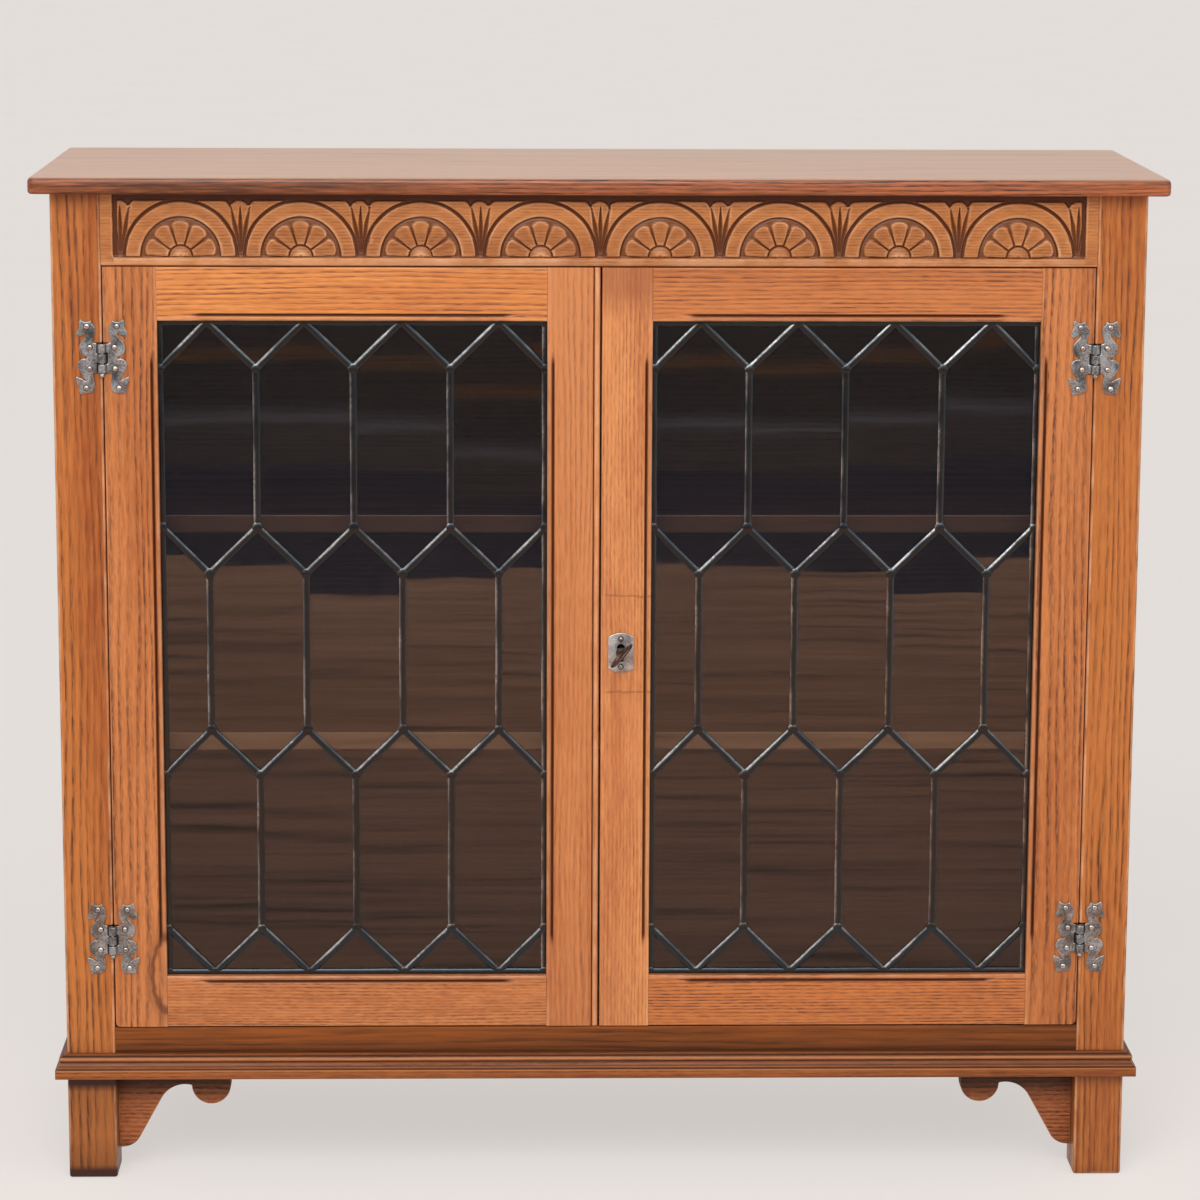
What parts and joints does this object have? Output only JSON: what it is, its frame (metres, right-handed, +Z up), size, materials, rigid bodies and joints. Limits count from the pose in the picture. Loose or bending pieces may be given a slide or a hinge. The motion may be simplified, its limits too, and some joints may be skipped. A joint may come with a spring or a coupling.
{
  "type": "glazed cabinet",
  "caption": "Oak bookcase cabinet on post feet, with leaded glass doors on surface hinges, a carved lunette frieze, a locking key and shelves inside.",
  "frame": {"origin": "on the floor, below the centre of the whole cabinet's box (the key's bow counts)", "axes": "+X to the cabinet's left-to-right as seen from the front, +Y from front to back, +Z up"},
  "size_m": [0.98, 0.346, 0.898],
  "materials": {
    "polished_oak": "honey-brown waxed oak, straight dark grain",
    "faded_oak": "sun-faded oak with a worn polish",
    "dark_oak": "dark stained and waxed oak",
    "plain_oak": "plain stained oak, little polish",
    "hammered_iron": "pewter-grey hammered iron",
    "bright_steel": "worn bright domed steel",
    "lead_came": "dull grey lead, rubbed pale on top",
    "clear_glass": "old drawn sheet glass, faintly wavy",
    "aged_brass": "aged brass",
    "lock_steel": "dull oiled steel",
    "dark_bronze": "dark bronze-brown patina, rubbed at the bow"
  },
  "bodies": {
    "carcass": {"top_board": "faded_oak", "front_post_left": "polished_oak", "front_post_right": "polished_oak", "rear_post_left": "polished_oak", "rear_post_right": "polished_oak", "frieze_rail": "polished_oak", "bottom_rail": "dark_oak", "base_moulding_front": "dark_oak", "base_moulding_left": "dark_oak", "base_moulding_right": "dark_oak", "bracket_left": "dark_oak", "bracket_right": "dark_oak", "side_panel_left": "plain_oak", "side_panel_right": "plain_oak", "back_panel": "plain_oak", "rear_top_rail": "plain_oak", "rear_bottom_rail": "plain_oak", "shelf_pegs": "plain_oak", "shelf_lower": "plain_oak", "shelf_upper": "plain_oak", "door_stop": "plain_oak", "bottom_board": "plain_oak", "hinge_upper_left_post_leaf": "hammered_iron", "hinge_upper_right_post_leaf": "hammered_iron", "hinge_lower_left_post_leaf": "hammered_iron", "hinge_lower_right_post_leaf": "hammered_iron", "hinge_pins": "bright_steel", "post_hinge_nails": "bright_steel"},
    "left_door": {"left_door_hinge_stile": "polished_oak", "left_door_meeting_stile": "polished_oak", "left_door_top_rail": "polished_oak", "left_door_bottom_rail": "polished_oak", "left_door_leads": "lead_came", "left_door_glass": "clear_glass", "left_door_glazing_beads": "plain_oak", "hinge_upper_left_door_leaf": "hammered_iron", "hinge_lower_left_door_leaf": "hammered_iron", "left_door_hinge_nails": "bright_steel", "upper_bolt_plate": "aged_brass", "lower_bolt_plate": "aged_brass", "lock_keep": "aged_brass", "left_door_screws": "lock_steel"},
    "right_door": {"right_door_hinge_stile": "polished_oak", "right_door_meeting_stile": "polished_oak", "right_door_top_rail": "polished_oak", "right_door_bottom_rail": "polished_oak", "right_door_leads": "lead_came", "right_door_glass": "clear_glass", "right_door_glazing_beads": "plain_oak", "hinge_upper_right_door_leaf": "hammered_iron", "hinge_lower_right_door_leaf": "hammered_iron", "right_door_hinge_nails": "bright_steel", "escutcheon": "hammered_iron", "escutcheon_pins": "bright_steel", "lock_case": "lock_steel", "lock_screws": "lock_steel"},
    "key": {"key": "dark_bronze"},
    "lock_bolt": {"lock_bolt": "lock_steel"},
    "upper_door_bolt": {"upper_door_bolt": "aged_brass"},
    "lower_door_bolt": {"lower_door_bolt": "aged_brass"}
  },
  "joints": [
    {"name": "left_door_swing", "type": "hinge", "parent": "carcass", "child": "left_door", "pos_m": [-0.43, -0.143, 0.48075], "axis": [0, 0, -1], "range_deg": [0, 170]},
    {"name": "right_door_swing", "type": "hinge", "parent": "carcass", "child": "right_door", "pos_m": [0.43, -0.143, 0.48075], "axis": [0, 0, 1], "range_deg": [0, 170]},
    {"name": "key_turn", "type": "hinge", "parent": "right_door", "child": "key", "pos_m": [0.0194, -0.139, 0.4822], "axis": [0, -1, 0], "range_deg": [0, 84]},
    {"name": "lock_bolt_throw", "type": "slide", "parent": "right_door", "child": "lock_bolt", "axis": [-1, 0, 0], "range_m": [0, 0.008]},
    {"name": "upper_bolt_slide", "type": "slide", "parent": "left_door", "child": "upper_door_bolt", "axis": [0, 0, 1], "range_m": [0, 0.01]},
    {"name": "lower_bolt_slide", "type": "slide", "parent": "left_door", "child": "lower_door_bolt", "axis": [0, 0, -1], "range_m": [0, 0.01]}
  ],
  "couplings": [
    {"joint": "lock_bolt_throw", "follows": "key_turn", "m_per_rad": 0.00545}
  ]
}
